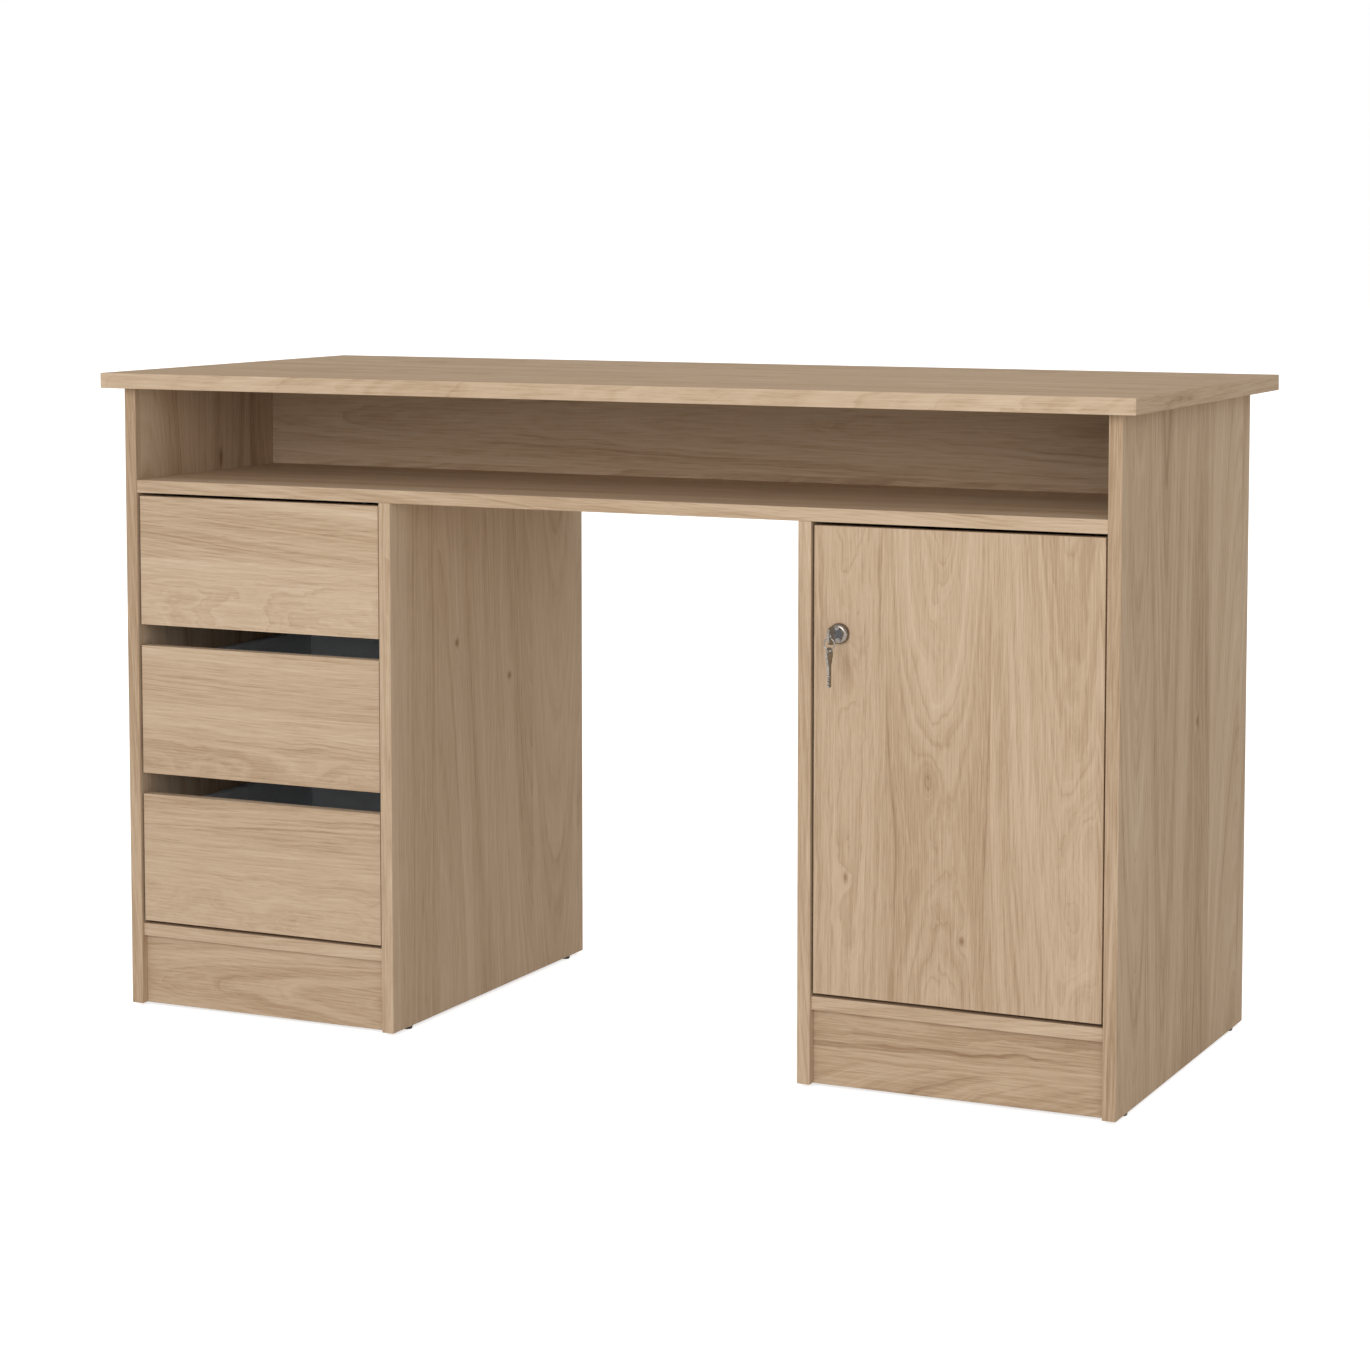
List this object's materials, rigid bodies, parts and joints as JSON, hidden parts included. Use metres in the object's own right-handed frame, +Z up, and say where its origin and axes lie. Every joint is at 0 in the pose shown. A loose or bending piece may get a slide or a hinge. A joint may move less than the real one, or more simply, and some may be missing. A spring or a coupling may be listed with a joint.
{
  "type": "office desk",
  "caption": "Office desk of light oak boards: open compartment under the worktop, drawer pedestal on the left, lockable cupboard on the right and a kneehole between them.",
  "frame": {"origin": "on the floor, under the centre of the worktop", "axes": "+X to the right along the front, +Y to the rear (the drawers and the door face -Y), +Z up"},
  "size_m": [1.268, 0.564, 0.76],
  "materials": {
    "oak_board": "satin printed oak decor on chipboard",
    "drawer_board": "matt light grey foil",
    "hardboard": "thin hardboard, lacquered oak print",
    "beech": "plain beech",
    "steel": "zinc plated",
    "zinc": "die cast",
    "rail_steel": "white epoxy",
    "hinge_steel": "nickel plated",
    "nylon": "natural nylon",
    "glide_plastic": "matt dark brown",
    "nickel": "polished nickel",
    "key_metal": "polished nickel"
  },
  "bodies": {
    "carcass": {"tabletop": "oak_board", "left_outer_panel": "oak_board", "left_inner_panel": "oak_board", "right_inner_panel": "oak_board", "right_outer_panel": "oak_board", "compartment_shelf": "oak_board", "compartment_back": "oak_board", "drawer_unit_bottom": "oak_board", "cupboard_bottom": "oak_board", "drawer_unit_plinth": "oak_board", "cupboard_plinth": "oak_board", "cupboard_shelf": "oak_board", "drawer_unit_back": "hardboard", "cupboard_back": "hardboard", "shelf_pins": "steel", "glide_feet": "glide_plastic", "cam_discs": "zinc", "cam_bolts": "steel", "wood_dowels": "beech", "carcass_screws": "steel", "cabinet_rails": "rail_steel", "hinge_arms": "hinge_steel", "hinge_plates": "hinge_steel", "lock_strike": "steel"},
    "top_drawer": {"top_drawer_front": "oak_board", "top_drawer_left_side": "drawer_board", "top_drawer_right_side": "drawer_board", "top_drawer_back": "drawer_board", "top_drawer_bottom": "drawer_board", "top_drawer_rails": "rail_steel", "top_drawer_fasteners": "zinc"},
    "top_drawer_rollers": {"top_drawer_rollers": "nylon"},
    "top_cabinet_rollers": {"top_cabinet_rollers": "nylon"},
    "middle_drawer": {"middle_drawer_front": "oak_board", "middle_drawer_left_side": "drawer_board", "middle_drawer_right_side": "drawer_board", "middle_drawer_back": "drawer_board", "middle_drawer_bottom": "drawer_board", "middle_drawer_rails": "rail_steel", "middle_drawer_fasteners": "zinc"},
    "middle_drawer_rollers": {"middle_drawer_rollers": "nylon"},
    "middle_cabinet_rollers": {"middle_cabinet_rollers": "nylon"},
    "bottom_drawer": {"bottom_drawer_front": "oak_board", "bottom_drawer_left_side": "drawer_board", "bottom_drawer_right_side": "drawer_board", "bottom_drawer_back": "drawer_board", "bottom_drawer_bottom": "drawer_board", "bottom_drawer_rails": "rail_steel", "bottom_drawer_fasteners": "zinc"},
    "bottom_drawer_rollers": {"bottom_drawer_rollers": "nylon"},
    "bottom_cabinet_rollers": {"bottom_cabinet_rollers": "nylon"},
    "door": {"door_panel": "oak_board", "hinge_cups": "hinge_steel", "hinge_cup_screws": "steel", "lock_housing": "nickel"},
    "lock": {"lock_plug": "nickel", "lock_cam": "steel", "key": "key_metal"},
    "key_ring": {"key_ring": "key_metal"},
    "spare_key": {"spare_key": "key_metal"}
  },
  "joints": [
    {"name": "top_drawer_slide", "type": "slide", "parent": "carcass", "child": "top_drawer", "axis": [0, -1, 0], "range_m": [0, 0.25]},
    {"name": "top_drawer_rollers_spin", "type": "hinge", "parent": "top_drawer", "child": "top_drawer_rollers", "pos_m": [-0.4335, 0.093, 0.4908], "axis": [1, 0, 0], "continuous": true},
    {"name": "top_cabinet_rollers_spin", "type": "hinge", "parent": "carcass", "child": "top_cabinet_rollers", "pos_m": [-0.4335, -0.223, 0.4908], "axis": [1, 0, 0], "continuous": true},
    {"name": "middle_drawer_slide", "type": "slide", "parent": "carcass", "child": "middle_drawer", "axis": [0, -1, 0], "range_m": [0, 0.25]},
    {"name": "middle_drawer_rollers_spin", "type": "hinge", "parent": "middle_drawer", "child": "middle_drawer_rollers", "pos_m": [-0.4335, 0.093, 0.3128], "axis": [1, 0, 0], "continuous": true},
    {"name": "middle_cabinet_rollers_spin", "type": "hinge", "parent": "carcass", "child": "middle_cabinet_rollers", "pos_m": [-0.4335, -0.223, 0.3128], "axis": [1, 0, 0], "continuous": true},
    {"name": "bottom_drawer_slide", "type": "slide", "parent": "carcass", "child": "bottom_drawer", "axis": [0, -1, 0], "range_m": [0, 0.25]},
    {"name": "bottom_drawer_rollers_spin", "type": "hinge", "parent": "bottom_drawer", "child": "bottom_drawer_rollers", "pos_m": [-0.4335, 0.093, 0.1348], "axis": [1, 0, 0], "continuous": true},
    {"name": "bottom_cabinet_rollers_spin", "type": "hinge", "parent": "carcass", "child": "bottom_cabinet_rollers", "pos_m": [-0.4335, -0.223, 0.1348], "axis": [1, 0, 0], "continuous": true},
    {"name": "door_swing", "type": "hinge", "parent": "carcass", "child": "door", "pos_m": [0.5875, -0.2455, 0.3595], "axis": [0, 0, 1], "range_deg": [0, 95]},
    {"name": "lock_turn", "type": "hinge", "parent": "door", "child": "lock", "pos_m": [0.3005, -0.252, 0.499], "axis": [0, 1, 0], "range_deg": [0, 90]},
    {"name": "key_ring_swing", "type": "hinge", "parent": "lock", "child": "key_ring", "pos_m": [0.3005, -0.281, 0.493], "axis": [0, 1, 0], "range_deg": [-90, 0]},
    {"name": "spare_key_swing", "type": "hinge", "parent": "key_ring", "child": "spare_key", "pos_m": [0.3005, -0.281, 0.485], "axis": [1, 0, 0], "range_deg": [-60, 35]}
  ],
  "couplings": [
    {"joint": "top_drawer_rollers_spin", "follows": "top_drawer_slide", "rad_per_m": 133.33},
    {"joint": "top_cabinet_rollers_spin", "follows": "top_drawer_slide", "rad_per_m": 133.33},
    {"joint": "middle_drawer_rollers_spin", "follows": "middle_drawer_slide", "rad_per_m": 133.33},
    {"joint": "middle_cabinet_rollers_spin", "follows": "middle_drawer_slide", "rad_per_m": 133.33},
    {"joint": "bottom_drawer_rollers_spin", "follows": "bottom_drawer_slide", "rad_per_m": 133.33},
    {"joint": "bottom_cabinet_rollers_spin", "follows": "bottom_drawer_slide", "rad_per_m": 133.33},
    {"joint": "key_ring_swing", "follows": "lock_turn", "ratio": -1}
  ]
}
